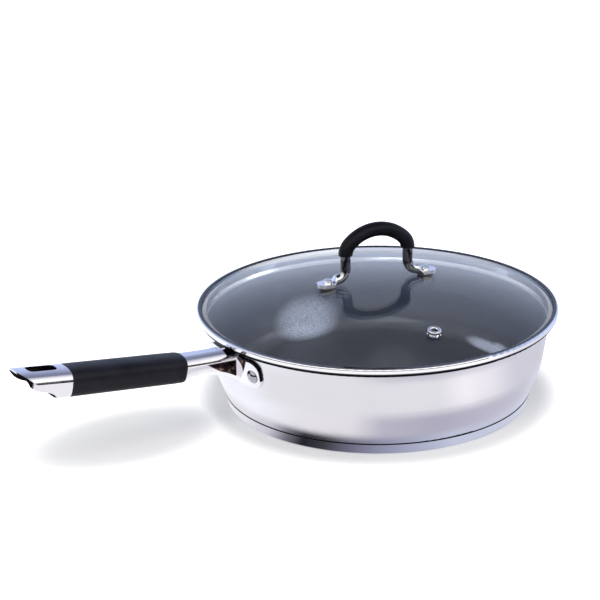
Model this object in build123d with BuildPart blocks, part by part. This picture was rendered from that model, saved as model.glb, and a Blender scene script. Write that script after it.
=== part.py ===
from build123d import *

import math
import os

os.makedirs("parts", exist_ok=True)

# Saute pan with a lid. Z runs up the pan's axis from the face that it rests on,
# and the long handle points along -X. All lengths are in millimetres.

# Fits and cuts
fit_gap = 0.05  # between pieces that are held together
rest_gap = 0.3  # between the lid and the pan under it
hole_gap = 0.25  # all round a shank in its hole
overrun = 5.0  # how far a cut runs past what it cuts

# Pan: one pressed sheet with a rolled lip
pan_radius = 139.8  # outside of the lip
pan_height = 71.3  # top of the lip
floor_height = 6.4  # underside of the sheet above the base
foot_inset = 19.8  # how far the wall's foot lies inside the lip
pan_sheet = 2.0
foot_round = 5.0  # outer corner of floor and wall
floor_round = 15.0  # inner corner of floor and wall
bend_share = 0.9  # round where the wall turns steeper, as a share of the wall's rise
flare_share = 0.62  # round where the wall flares into the lip, as a share of the same
lip_width = 3.8
lip_height = 2.2
lip_round = 0.9
coating = 0.4
coating_inset = 7.0  # from the top of the lip down to the edge of the coating

# Base: an aluminium core under a steel cap
cap_sheet = 0.8
cap_lap = 1.4  # how far the cap reaches up past the underside of the floor
cap_inset = 1.1  # how far the cap's lower edge lies inside the wall's foot
cap_round = 1.6

# Neck of the long handle: a folded sheet with two flanges
handle_tilt = 7.7  # degrees above level
handle_axis_drop = 12.8  # from the top of the lip to the handle's axis, under the lip
neck_sheet = 2.0
neck_width = 22.0
neck_height = 19.4
neck_round = 7.5
neck_length = 40.3  # from the lip to the grip
throat_width = 20.5  # narrowest part of the neck
throat_height = 17.6
throat_reach = 17.4  # from the lip to the throat
throat_lift = 1.8  # middle of the throat above the handle's axis
root_height = 28.0  # where the neck meets the wall
root_drop = 1.6  # middle of the root below the handle's axis
mouth_reach = 5.4  # how far from the lip the top of the neck is cut away
mouth_drop = 5.3  # from the top of the lip to the two cheeks that are left there
mouth_round = 3.5
flange_width = 64.0
flange_height = 22.0
flange_round = 7.5
flange_drop = 17.1  # from the top of the lip to the middle of the flanges
rivet_spread = 23.7  # from the middle of the neck to a rivet
rivet_drop = 18.4  # from the top of the lip to a rivet
rivet_shank = 5.0
rivet_head = 10.6
rivet_dome = 2.6
rivet_inner_head = 11.0
rivet_inner_dome = 1.4

# Grip and end piece of the long handle
grip_width = 27.6
grip_height = 21.5
grip_length = 95.6
grip_slim_share = 0.96  # section of the grip next to its rounded end
nose_length = 8.0  # rounded end of the grip, next to the neck
nose_rim = 0.4  # how far that end stands proud of the neck
core_width = 13.0
core_height = 7.0
core_plug = 5.0  # length of the core that stands in the neck
plug_gap = 1.8  # all round it, because the neck narrows
end_length = 40.2
end_sheet = 1.5
end_rise = 0.7  # how far the end piece thickens towards its tip
end_corner = 13.0
end_wall = 2.0  # the wall that closes the end piece against the grip
slot_start = 7.6
slot_length = 22.6
slot_width = 10.4
slot_corner = 3.6

# Lid: glass dome in a folded steel band
glass_sheet = 3.3
glass_rise = 20.1
glass_edge_inset = 1.1  # from the outside of the band to the glass
glass_edge_round = 0.9
band_overhang = 1.2  # how far the band stands out over the pan's lip
band_height = 4.3
band_width = 3.6  # how far the band covers the glass
band_sheet = 0.45
band_round = 1.5
band_foot_round = 0.5
skirt_inset = 7.4  # from the outside of the band to the outside of its skirt
skirt_depth = 4.4
skirt_sheet = 0.7

# Lid handle: a bent bar with two flattened ears and a sleeve
lid_handle_angle = -13.0  # degrees round the lid
bar_diameter = 8.0
leg_spread = 26.2  # from the middle to a leg
foot_bend = 8.5
shoulder_bend = 12.0
crown_bend = 32.0
sleeve_start = 20.3  # from the top of the ears up to the sleeve
sleeve_diameter = 11.2
ear_thickness = 2.8
ear_width = 12.0
ear_reach = 50.0  # from the middle to the tip of an ear
ear_neck = 3.0  # length over which the bar flattens
screw_spread = 41.3  # from the middle to a screw
screw_diameter = 4.0
screw_head = 6.6
screw_head_height = 2.6
screw_slot_width = 1.0
screw_slot_depth = 1.0
screw_slot_turn = 25.0  # degrees
screw_head_round = 0.85
pad_diameter = 12.4
pad_thickness = 1.1
lower_pad_thickness = 1.5
washer_diameter = 11.0
washer_thickness = 1.0
nut_width = 7.0
nut_height = 3.2
screw_tail = 1.4  # how far the screw stands out of its nut

# Steam vent in the glass
vent_inset = 40.6  # from the pan's lip to the vent
vent_angle = 258.8  # degrees round the lid
vent_hole = 4.8
vent_barrel = 6.8
vent_flange = 10.2
vent_flange_height = 1.9
vent_pad = 10.8
vent_pad_thickness = 0.5
vent_washer = 10.4
vent_washer_thickness = 1.2
vent_rolled_edge = 0.9

cut_size = pan_radius + pan_height  # larger than the pan in every direction


def shifted(points, distance):
    """An open line of points moved to its left, with its corners kept."""
    places = [Vector(*point) for point in points]
    turns = []
    for start, end in zip(places, places[1:]):
        along = (end - start).normalized()
        turns.append(Vector(-along.Y, along.X))
    moved = [places[0] + turns[0] * distance]
    for place, before, after in zip(places[1:], turns, turns[1:]):
        middle = (before + after).normalized()
        moved.append(place + middle * (distance / middle.dot(after)))
    moved.append(places[-1] + turns[-1] * distance)
    return [(place.X, place.Y) for place in moved]


def oval(width, height):
    """A closed outline between an ellipse and a rectangle, in the current sketch."""
    corner_share = 0.787
    half_w = width / 2
    half_h = height / 2
    corner_w = half_w * corner_share
    corner_h = half_h * corner_share
    places = [
        (half_w, 0),
        (corner_w, corner_h),
        (0, half_h),
        (-corner_w, corner_h),
        (-half_w, 0),
        (-corner_w, -corner_h),
        (0, -half_h),
        (corner_w, -corner_h),
    ]
    with BuildLine() as outline:
        Spline(*places, periodic=True)
    make_face(outline.line)


# Outline of the pan's wall, on its outer face, from the middle of the floor up
wall_rise = pan_height - lip_height - floor_height
foot_radius = pan_radius - foot_inset
bend_round = bend_share * wall_rise
flare_round = flare_share * wall_rise
wall_shares = ((0.48, 0.41), (0.707, 0.885), (0.925, 1.02))
wall_line = [(0, floor_height), (foot_radius, floor_height)]
for spread_share, rise_share in wall_shares:
    wall_line.append((foot_radius + foot_inset * spread_share, floor_height + wall_rise * rise_share))


def wall_radius(height, inset):
    """Radius of the pan's wall, its rounds left out, at a height and a distance inside its face."""
    line = shifted(wall_line, inset)
    for (inner, low), (outer, high) in zip(line[1:], line[2:]):
        if height <= high:
            break
    return inner + (outer - inner) * (height - low) / (high - low)


def wall_outline(inset, corner):
    """The wall's line at a distance inside its outer face, in the current line."""
    rounds = [corner, bend_round + inset, flare_round - inset]
    return FilletPolyline(*shifted(wall_line, inset), radius=rounds)


# The two rivets: where their axes leave the wall, and which way they point
rivet_height = pan_height - rivet_drop
rivet_turn = math.degrees(math.asin(rivet_spread / wall_radius(rivet_height, 0)))
bend_place = wall_line[2]
flare_place = wall_line[3]
wall_lean = math.degrees(math.atan2(flare_place[0] - bend_place[0], flare_place[1] - bend_place[1]))
rivet_planes = []
for turn in (180 - rivet_turn, 180 + rivet_turn):
    outward = Vector(1, 0, 0).rotate(Axis.Y, wall_lean).rotate(Axis.Z, turn)
    place = Vector(wall_radius(rivet_height, 0), 0, rivet_height).rotate(Axis.Z, turn)
    rivet_planes.append(Plane(origin=place, z_dir=outward))

# Pan shell
with BuildPart() as pan_shell:
    with BuildSketch(Plane.XZ):
        with BuildLine():
            shell_outer = wall_outline(0, foot_round)
            shell_inner = wall_outline(pan_sheet, floor_round)
            Line(shell_outer @ 0, shell_inner @ 0)
            Line(shell_outer @ 1, shell_inner @ 1)
        make_face()
        with Locations((pan_radius - lip_width / 2, pan_height - lip_height / 2)):
            RectangleRounded(lip_width, lip_height, lip_round)
    revolve(axis=Axis.Z)
    for plane in rivet_planes:
        with BuildSketch(plane):
            Circle(rivet_shank / 2)
        extrude(amount=overrun, both=True, mode=Mode.SUBTRACT)

# Nonstick coating on the inside of the shell, up to a line below the lip
coat_face = pan_sheet + fit_gap
with BuildPart() as nonstick_coating:
    with BuildSketch(Plane.XZ):
        with BuildLine():
            coat_outer = wall_outline(coat_face, floor_round - fit_gap)
            coat_inner = wall_outline(coat_face + coating, floor_round - fit_gap - coating)
            Line(coat_outer @ 0, coat_inner @ 0)
            Line(coat_outer @ 1, coat_inner @ 1)
        make_face()
        with Locations((0, pan_height - coating_inset)):
            Rectangle(cut_size, pan_height, align=(Align.MIN, Align.MIN), mode=Mode.SUBTRACT)
    revolve(axis=Axis.Z)
    for plane in rivet_planes:
        with BuildSketch(plane):
            Circle(rivet_shank / 2)
        extrude(amount=overrun, both=True, mode=Mode.SUBTRACT)

# Base core: the aluminium disc, up to the underside of the floor
cap_height = floor_height + cap_lap
cap_radius = foot_radius - cap_inset
foot_lean = math.atan2(wall_line[2][0] - foot_radius, wall_line[2][1] - floor_height)
foot_half_angle = (math.pi / 2 + foot_lean) / 2
foot_middle = foot_radius - foot_round / math.tan(foot_half_angle)
foot_face = foot_middle + math.sqrt(foot_round**2 - (foot_round - cap_lap) ** 2)
cap_spread = foot_face + fit_gap + cap_sheet - cap_radius
cap_slope = cap_spread / cap_height
core_foot = cap_radius - cap_sheet + cap_slope * cap_sheet
core_top = core_foot + cap_slope * (floor_height - cap_sheet)
with BuildPart() as base_core:
    with BuildSketch(Plane.XZ):
        with BuildLine():
            Polyline(
                (0, cap_sheet),
                (core_foot, cap_sheet),
                (core_top, floor_height),
                (0, floor_height),
                close=True,
            )
        make_face()
        foot_corner = vertices().group_by(Axis.X)[-2]
        fillet(foot_corner, cap_round - cap_sheet / 2)
    revolve(axis=Axis.Z)

# Base cap: the steel dish round the core
with BuildPart() as base_cap:
    with BuildSketch(Plane.XZ):
        with BuildLine():
            Polyline(
                (0, 0),
                (cap_radius, 0),
                (cap_radius + cap_spread, cap_height),
                (cap_radius + cap_spread - cap_sheet, cap_height),
                (core_foot, cap_sheet),
                (0, cap_sheet),
                close=True,
            )
        make_face()
        outer_corner = vertices().sort_by(Axis.Y)[:2].sort_by(Axis.X)[-1]
        inner_corner = vertices().filter_by(lambda v: abs(v.Y - cap_sheet) < fit_gap).sort_by(Axis.X)[-1]
        fillet(outer_corner, cap_round)
        fillet(inner_corner, cap_round - cap_sheet / 2)
    revolve(axis=Axis.Z)


# Frame of the long handle's axis, which starts at the end of the neck
handle_turn = math.radians(handle_tilt)
handle_axis_height = pan_height - handle_axis_drop
handle_out = Vector(-math.cos(handle_turn), 0, math.sin(handle_turn))
handle_up = Vector(math.sin(handle_turn), 0, math.cos(handle_turn))
neck_end = Vector(
    -pan_radius - neck_length, 0, handle_axis_height + neck_length * math.tan(handle_turn)
)


def handle_section(reach, lift=0):
    """A plane across the handle's axis, at a distance from the end of the neck."""
    place = neck_end + handle_out * reach + handle_up * lift
    return Plane(origin=place, x_dir=(0, -1, 0), z_dir=handle_out)


handle_side = Plane(origin=neck_end, x_dir=handle_out, z_dir=(0, 1, 0))
handle_top = Plane(origin=neck_end, x_dir=handle_out, z_dir=handle_up)


def neck_plane(reach, lift):
    """A level cross-section of the neck at a distance from the lip, seen from the handle's end."""
    height = handle_axis_height + reach * math.tan(handle_turn) + lift
    return Plane(origin=(-pan_radius - reach, 0, height), x_dir=(0, -1, 0), z_dir=(-1, 0, 0))


root_reach = -flange_round  # the neck's root lies inside the wall, which is cut away from it
neck_stations = (
    (handle_section(0), neck_width, neck_height),
    (neck_plane(throat_reach, throat_lift), throat_width, throat_height),
    (neck_plane(root_reach, -root_drop), throat_width, root_height),
)

# Handle bracket: the folded neck and its two flanges on the wall
with BuildPart() as handle_bracket:
    with BuildSketch(Plane.XZ):
        with BuildLine():
            plate_inner = wall_outline(0, foot_round)
            plate_outer = wall_outline(-neck_sheet, foot_round + neck_sheet)
            Line(plate_inner @ 0, plate_outer @ 0)
            Line(plate_inner @ 1, plate_outer @ 1)
        make_face()
    revolve(axis=Axis.Z)
    with BuildSketch(Plane.YZ.offset(-cut_size)):
        with Locations((0, pan_height - flange_drop)):
            RectangleRounded(flange_width, flange_height, flange_round)
    extrude(amount=cut_size, mode=Mode.INTERSECT)
    for station, width, height in neck_stations:
        with BuildSketch(station):
            RectangleRounded(width, height, neck_round)
    loft()
    for station, width, height in neck_stations:
        with BuildSketch(station):
            RectangleRounded(width - 2 * neck_sheet, height - 2 * neck_sheet, neck_round - neck_sheet)
    loft(mode=Mode.SUBTRACT)
    with BuildSketch(Plane.XZ):
        with Locations((-pan_radius - mouth_reach, pan_height - mouth_drop)):
            Rectangle(pan_radius, pan_height, align=(Align.MIN, Align.MIN))
        mouth_corner = vertices().group_by(Axis.Y)[0].sort_by(Axis.X)[0]
        fillet(mouth_corner, mouth_round)
    extrude(amount=throat_width, both=True, mode=Mode.SUBTRACT)
    with BuildSketch(Plane.XZ):
        with BuildLine():
            wall_face = wall_outline(0, foot_round)
            Line(wall_face @ 1, (0, pan_height))
            Line((0, pan_height), wall_face @ 0)
        make_face()
    revolve(axis=Axis.Z, mode=Mode.SUBTRACT)
    for plane in rivet_planes:
        with BuildSketch(plane):
            Circle(rivet_shank / 2)
        extrude(amount=overrun, both=True, mode=Mode.SUBTRACT)

# Handle rivets: a domed head outside, a flatter one inside
rivet_grip = coat_face + coating
with BuildPart() as handle_rivets:
    for plane in rivet_planes:
        middle = Plane(origin=plane.origin, x_dir=plane.x_dir, z_dir=-plane.y_dir)
        with BuildSketch(middle):
            with BuildLine():
                Polyline(
                    (0, neck_sheet + rivet_dome),
                    (0, -rivet_grip - rivet_inner_dome),
                )
                TangentArc(
                    (0, -rivet_grip - rivet_inner_dome),
                    (rivet_inner_head / 2, -rivet_grip - hole_gap),
                    tangent=(1, 0),
                )
                Polyline(
                    (rivet_inner_head / 2, -rivet_grip - hole_gap),
                    (rivet_shank / 2 - fit_gap, -rivet_grip - hole_gap),
                    (rivet_shank / 2 - fit_gap, neck_sheet + hole_gap),
                    (rivet_head / 2, neck_sheet + hole_gap),
                )
                TangentArc(
                    (0, neck_sheet + rivet_dome),
                    (rivet_head / 2, neck_sheet + hole_gap),
                    tangent=(1, 0),
                )
            make_face()
        revolve(axis=Axis(plane.origin, plane.z_dir))

# Handle core: a plug in the neck, and the bar that the grip is moulded on
with BuildPart() as handle_core:
    plug_width = neck_width - 2 * neck_sheet - 2 * plug_gap
    plug_height = neck_height - 2 * neck_sheet - 2 * plug_gap
    with BuildSketch(handle_section(0)):
        Rectangle(core_width, core_height)
    extrude(amount=grip_length)
    with BuildSketch(handle_section(0)):
        RectangleRounded(plug_width, plug_height, neck_round - neck_sheet - plug_gap)
    extrude(amount=-core_plug)

# Handle grip: rounded at the neck, then swelling slightly towards the end piece
nose_shares = (0, 0.17, 0.5, 1)
with BuildPart() as handle_grip:
    for share in nose_shares:
        swell = math.sqrt(1 - (1 - share) ** 2)
        start_width = neck_width + 2 * nose_rim
        start_height = neck_height + 2 * nose_rim
        full_width = grip_width * grip_slim_share
        full_height = grip_height * grip_slim_share
        with BuildSketch(handle_section(nose_length * share)):
            oval(
                start_width + (full_width - start_width) * swell,
                start_height + (full_height - start_height) * swell,
            )
    loft()
    for reach, size_share in ((nose_length, grip_slim_share), (grip_length, 1)):
        with BuildSketch(handle_section(reach)):
            oval(grip_width * size_share, grip_height * size_share)
    loft()
    with BuildSketch(handle_section(0)):
        Rectangle(core_width + 2 * fit_gap, core_height + 2 * fit_gap)
    extrude(amount=grip_length, mode=Mode.SUBTRACT)

# Handle end piece: closed against the grip, open below, with the hanging slot on top
end_shell = grip_length + end_wall
end_tip = grip_length + end_length
slot_middle = grip_length + slot_start + slot_length / 2
step_shares = ((0.22, -1.2), (0.25, -0.78), (0.33, -0.52))
sweep_shares = ((0.33, -0.52), (0.435, -0.32), (0.615, -0.15), (0.735, 0.02), (0.82, 0.23))
tip_shares = ((0.82, 0.23), (0.94, 0.72), (1.05, 1.25))


def cut_places(shares):
    """Places on the end piece's lower edge, from shares of its length and of half its height."""
    return [(grip_length + end_length * along, grip_height / 2 * up) for along, up in shares]


with BuildPart() as handle_end:
    for reach, lift, extra in ((grip_length, 0, 0), (end_tip, end_rise / 2, end_rise)):
        with BuildSketch(handle_section(reach, lift)):
            oval(grip_width, grip_height + extra)
    loft()
    for reach, lift, extra in ((end_shell, 0, 0), (end_tip + overrun, end_rise / 2, end_rise)):
        with BuildSketch(handle_section(reach, lift)):
            oval(grip_width - 2 * end_sheet, grip_height - 2 * end_sheet + extra)
    loft(mode=Mode.SUBTRACT)
    with BuildSketch(handle_top.offset(-grip_height)):
        with Locations((end_tip, 0)):
            Rectangle(2 * end_length, grip_width, align=(Align.MAX, Align.CENTER))
        fillet(vertices().group_by(Axis.X)[-1], end_corner)
    extrude(amount=2 * grip_height, mode=Mode.INTERSECT)
    with BuildSketch(handle_side):
        with BuildLine():
            step_places = cut_places(step_shares)
            tip_places = cut_places(tip_shares)
            start = (step_places[0][0], -grip_height)
            stop = (tip_places[-1][0], -grip_height)
            Polyline(start, *step_places)
            Spline(*cut_places(sweep_shares))
            Polyline(*tip_places, stop, start)
        make_face()
    extrude(amount=grip_width, both=True, mode=Mode.SUBTRACT)
    with BuildSketch(handle_top):
        with Locations((slot_middle, 0)):
            RectangleRounded(slot_length, slot_width, slot_corner)
    extrude(amount=grip_height, mode=Mode.SUBTRACT)

# Heights and radii of the lid, from the lip that it rests on
band_radius = pan_radius + band_overhang
band_foot = pan_height + rest_gap
band_top = band_foot + band_height
band_mouth = band_radius - band_width  # where the glass comes out of the band
glass_radius = band_radius - glass_edge_inset
glass_foot = band_foot + band_sheet + fit_gap
glass_brim = glass_foot + glass_sheet
glass_top = glass_brim + glass_rise
dome_radius = (band_mouth**2 + glass_rise**2) / (2 * glass_rise)


def dome_height(reach, depth=0):
    """Height of the dome at a distance from its middle and a depth under its top face."""
    return glass_top - depth - dome_radius + math.sqrt(dome_radius**2 - reach**2)


vent_reach = pan_radius - vent_inset
vent_tilt = math.degrees(math.asin(vent_reach / dome_radius))
vent_place = Vector(vent_reach, 0, dome_height(vent_reach)).rotate(Axis.Z, vent_angle)
vent_out = Vector(0, 0, 1).rotate(Axis.Y, vent_tilt).rotate(Axis.Z, vent_angle)
vent_frame = Plane(origin=vent_place, z_dir=vent_out)
bar_frame = Plane.XY.rotated((0, 0, lid_handle_angle))
bar_side = Plane(origin=(0, 0, 0), x_dir=bar_frame.x_dir, z_dir=-bar_frame.y_dir)
screw_places = ((-screw_spread, 0), (screw_spread, 0))

# Lid glass: a dome with a flat brim that the band holds, and three holes
with BuildPart() as lid_glass:
    with BuildSketch(Plane.XZ):
        with BuildLine():
            TangentArc((0, glass_top), (band_mouth, glass_brim), tangent=(1, 0))
            Polyline(
                (band_mouth, glass_brim),
                (glass_radius, glass_brim),
                (glass_radius, glass_foot),
                (band_mouth, glass_foot),
            )
            TangentArc((0, glass_top - glass_sheet), (band_mouth, glass_foot), tangent=(1, 0))
            Line((0, glass_top - glass_sheet), (0, glass_top))
        make_face()
        fillet(vertices().group_by(Axis.X)[-1], glass_edge_round)
    revolve(axis=Axis.Z)
    with BuildSketch(bar_frame):
        with Locations(*screw_places):
            Circle(screw_diameter / 2 + hole_gap)
    extrude(amount=glass_top, mode=Mode.SUBTRACT)
    with BuildSketch(vent_frame):
        Circle(vent_barrel / 2 + hole_gap)
    extrude(amount=overrun, both=True, mode=Mode.SUBTRACT)

# Lid band: folded round the brim, with a skirt that centres the lid in the pan
with BuildPart() as lid_band:
    with BuildSketch(Plane.XZ):
        with Locations((band_radius, band_foot)):
            Rectangle(band_width, band_height, align=(Align.MAX, Align.MIN))
        outside = vertices().group_by(Axis.X)[-1].sort_by(Axis.Y)
        fillet(outside[-1], band_round)
        fillet(outside[0], band_foot_round)
        brim_width = glass_radius - band_mouth + fit_gap
        with Locations((band_mouth + brim_width, glass_foot - fit_gap)):
            Rectangle(
                brim_width + overrun,
                glass_sheet + 2 * fit_gap,
                align=(Align.MAX, Align.MIN),
                mode=Mode.SUBTRACT,
            )
        skirt_radius = band_radius - skirt_inset
        with Locations((band_mouth + band_sheet, band_foot)):
            Rectangle(
                band_mouth + band_sheet - skirt_radius + skirt_sheet,
                band_sheet,
                align=(Align.MAX, Align.MIN),
            )
        with Locations((skirt_radius, band_foot + band_sheet)):
            Rectangle(skirt_sheet, skirt_depth + band_sheet, align=(Align.MAX, Align.MAX))
    revolve(axis=Axis.Z)

# Ears of the lid handle lie on pads on the glass
ear_foot = dome_height(screw_spread) + pad_thickness
ear_top = ear_foot + ear_thickness
bend_height = ear_foot + bar_diameter / 2 + foot_bend
sleeve_foot = ear_top + sleeve_start
shoulder_turn = math.degrees(math.acos((leg_spread - shoulder_bend) / (crown_bend - shoulder_bend)))


def arch_line():
    """Middle line of the sleeved arch, from the right leg over to the left one, in the current line."""
    rise = JernArc((leg_spread, sleeve_foot), (0, 1), shoulder_bend, shoulder_turn)
    crown = JernArc(rise @ 1, rise % 1, crown_bend, 2 * (90 - shoulder_turn))
    return JernArc(crown @ 1, crown % 1, shoulder_bend, shoulder_turn)


# Lid handle bar: round along the arch and the legs, flattened into the ears
with BuildPart() as lid_handle_bar:
    bend_end = leg_spread + foot_bend
    with BuildLine(bar_side) as bar_line:
        arch_end = arch_line()
        Line((leg_spread, sleeve_foot), (leg_spread, bend_height))
        JernArc((leg_spread, bend_height), (0, -1), foot_bend, 90)
        Line(arch_end @ 1, (-leg_spread, bend_height))
        JernArc((-leg_spread, bend_height), (0, -1), foot_bend, -90)
    for side in (-1, 1):
        outward = bar_frame.x_dir * side
        foot_middle = bar_frame.x_dir * (side * bend_end)
        round_end = Plane(
            origin=foot_middle + Vector(0, 0, ear_foot + bar_diameter / 2),
            x_dir=bar_frame.y_dir * side,
            z_dir=outward,
        )
        flat_end = Plane(
            origin=foot_middle + outward * ear_neck + Vector(0, 0, ear_foot + ear_thickness / 2),
            x_dir=bar_frame.y_dir * side,
            z_dir=outward,
        )
        with BuildSketch(round_end):
            Circle(bar_diameter / 2)
        with BuildSketch(flat_end):
            RectangleRounded(ear_width, ear_thickness, ear_thickness / 2 - fit_gap)
        loft()
        ear_length = ear_reach - bend_end - ear_neck
        with BuildSketch(Plane(origin=flat_end.origin, x_dir=outward, z_dir=(0, 0, 1))):
            Rectangle(ear_length, ear_width, align=(Align.MIN, Align.CENTER))
            fillet(vertices().group_by(Axis.X)[-1], ear_width / 2 - fit_gap)
        extrude(amount=ear_thickness / 2, both=True)
    with BuildSketch(Plane(origin=bar_line.line @ 0, z_dir=bar_line.line % 0)):
        Circle(bar_diameter / 2)
    sweep(path=bar_line.line)
    with BuildSketch(bar_frame):
        with Locations(*screw_places):
            Circle(screw_diameter / 2 + hole_gap)
    extrude(amount=ear_top + overrun, mode=Mode.SUBTRACT)

# Lid handle grip: the sleeve over the arch
with BuildPart() as lid_handle_grip:
    with BuildLine(bar_side) as sleeve_line:
        arch_line()
    sleeve_end = Plane(origin=sleeve_line.line @ 0, z_dir=sleeve_line.line % 0)
    with BuildSketch(sleeve_end):
        Circle(sleeve_diameter / 2)
        Circle(bar_diameter / 2 + fit_gap, mode=Mode.SUBTRACT)
    sweep(path=sleeve_line.line)

# Pads on and under the glass, washers, nuts and screws of the lid handle
lower_pad_foot = dome_height(screw_spread, glass_sheet) - lower_pad_thickness
washer_foot = lower_pad_foot - washer_thickness
nut_foot = washer_foot - nut_height

with BuildPart() as upper_pads:
    with BuildSketch(bar_frame.offset(ear_foot)):
        with Locations(*screw_places):
            Circle(pad_diameter / 2)
            Circle(screw_diameter / 2 + fit_gap, mode=Mode.SUBTRACT)
    extrude(amount=-2 * pad_thickness)
    with BuildSketch(Plane.XZ):
        with BuildLine():
            TangentArc((0, glass_top), (band_mouth, glass_brim), tangent=(1, 0))
            Polyline((band_mouth, glass_brim), (0, glass_brim), (0, glass_top))
        make_face()
    revolve(axis=Axis.Z, mode=Mode.SUBTRACT)

with BuildPart() as lower_pads:
    with BuildSketch(bar_frame.offset(lower_pad_foot)):
        with Locations(*screw_places):
            Circle(pad_diameter / 2)
            Circle(screw_diameter / 2 + fit_gap, mode=Mode.SUBTRACT)
    extrude(amount=2 * lower_pad_thickness)
    with BuildSketch(Plane.XZ):
        with BuildLine():
            TangentArc((0, glass_top - glass_sheet), (band_mouth, glass_foot), tangent=(1, 0))
            Polyline((band_mouth, glass_foot), (band_mouth, glass_top), (0, glass_top))
            Line((0, glass_top), (0, glass_top - glass_sheet))
        make_face()
    revolve(axis=Axis.Z, mode=Mode.SUBTRACT)

with BuildPart() as lid_handle_washers:
    with BuildSketch(bar_frame.offset(washer_foot)):
        with Locations(*screw_places):
            Circle(washer_diameter / 2)
            Circle(screw_diameter / 2 + fit_gap, mode=Mode.SUBTRACT)
    extrude(amount=washer_thickness)

with BuildPart() as lid_handle_nuts:
    with BuildSketch(bar_frame.offset(nut_foot)):
        with Locations(*screw_places):
            RegularPolygon(nut_width / 2, 6, major_radius=False)
            Circle(screw_diameter / 2 + fit_gap, mode=Mode.SUBTRACT)
    extrude(amount=nut_height)

with BuildPart() as lid_handle_screws:
    with BuildSketch(bar_frame.offset(nut_foot - screw_tail)):
        with Locations(*screw_places):
            Circle(screw_diameter / 2)
    extrude(amount=ear_top - nut_foot + screw_tail)
    with BuildSketch(bar_frame.offset(ear_top)):
        with Locations(*screw_places):
            Circle(screw_head / 2)
    extrude(amount=screw_head_height)
    head_rims = edges().group_by(Axis.Z)[-1]
    fillet(head_rims, screw_head_round)
    with BuildSketch(bar_frame.offset(ear_top + screw_head_height)):
        with Locations(*screw_places):
            Rectangle(screw_slot_width, screw_head, rotation=screw_slot_turn)
    extrude(amount=-screw_slot_depth, mode=Mode.SUBTRACT)

# Steam vent: an eyelet through the glass, a seal under its flange, and a ring below
with BuildPart() as vent_gasket:
    with BuildSketch(vent_frame.offset(fit_gap)):
        Circle(vent_pad / 2)
        Circle(vent_barrel / 2 + fit_gap, mode=Mode.SUBTRACT)
    extrude(amount=vent_pad_thickness)

flange_foot = vent_pad_thickness + 2 * fit_gap
barrel_end = -glass_sheet - vent_washer_thickness - 2 * fit_gap
vent_side = Plane(origin=vent_frame.origin, x_dir=vent_frame.x_dir, z_dir=-vent_frame.y_dir)
with BuildPart() as vent_eyelet:
    with BuildSketch(vent_side):
        with BuildLine():
            Polyline(
                (vent_barrel / 2, flange_foot),
                (vent_barrel / 2, barrel_end),
                (vent_barrel / 2 + vent_rolled_edge, barrel_end),
                (vent_barrel / 2 + vent_rolled_edge, barrel_end - vent_rolled_edge),
                (vent_hole / 2, barrel_end - vent_rolled_edge),
                (vent_hole / 2, flange_foot + vent_flange_height / 2),
            )
            ThreePointArc(
                (vent_hole / 2, flange_foot + vent_flange_height / 2),
                (vent_hole / 2 + vent_rolled_edge, flange_foot + vent_flange_height),
                (vent_flange / 2, flange_foot),
            )
            Line((vent_flange / 2, flange_foot), (vent_barrel / 2, flange_foot))
        make_face()
    revolve(axis=Axis(vent_frame.origin, vent_frame.z_dir))

with BuildPart() as vent_ring:
    with BuildSketch(vent_frame.offset(-glass_sheet - fit_gap)):
        Circle(vent_washer / 2)
        Circle(vent_barrel / 2 + fit_gap, mode=Mode.SUBTRACT)
    extrude(amount=-vent_washer_thickness)

pieces = {
    "pan_shell": pan_shell,
    "nonstick_coating": nonstick_coating,
    "base_core": base_core,
    "base_cap": base_cap,
    "handle_bracket": handle_bracket,
    "handle_rivets": handle_rivets,
    "handle_core": handle_core,
    "handle_grip": handle_grip,
    "handle_end": handle_end,
    "lid_glass": lid_glass,
    "lid_band": lid_band,
    "lid_handle_bar": lid_handle_bar,
    "lid_handle_grip": lid_handle_grip,
    "lid_handle_screws": lid_handle_screws,
    "lid_handle_nuts": lid_handle_nuts,
    "lid_handle_washers": lid_handle_washers,
    "upper_gaskets": upper_pads,
    "lower_gaskets": lower_pads,
    "vent_eyelet": vent_eyelet,
    "vent_gasket": vent_gasket,
    "vent_washer": vent_ring,
}
for label, piece in pieces.items():
    piece.part.label = label
    export_step(piece.part, f"parts/{label}.step")
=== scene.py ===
import math

import bpy
from mathutils import Matrix, Vector

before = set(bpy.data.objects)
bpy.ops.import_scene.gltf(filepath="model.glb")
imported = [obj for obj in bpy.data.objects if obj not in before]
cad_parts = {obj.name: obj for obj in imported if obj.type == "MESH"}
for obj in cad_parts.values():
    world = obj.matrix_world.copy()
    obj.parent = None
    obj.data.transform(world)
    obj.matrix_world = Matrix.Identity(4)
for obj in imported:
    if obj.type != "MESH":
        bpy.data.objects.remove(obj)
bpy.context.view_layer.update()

# Camera: a metre and a half away and looking down by 20 degrees, on the side of the pan where
# the long handle runs off to the left. It stands where the photograph was taken.
camera_turn = math.radians(-124.0)
camera_rise = math.radians(20.05)
camera_roll = math.radians(-0.886)
camera_distance = 1.5
camera_lens = 115.139
camera_sensor = 36
aim_height = 0.08
aim_right = -0.06001
aim_up = -0.00153

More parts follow.
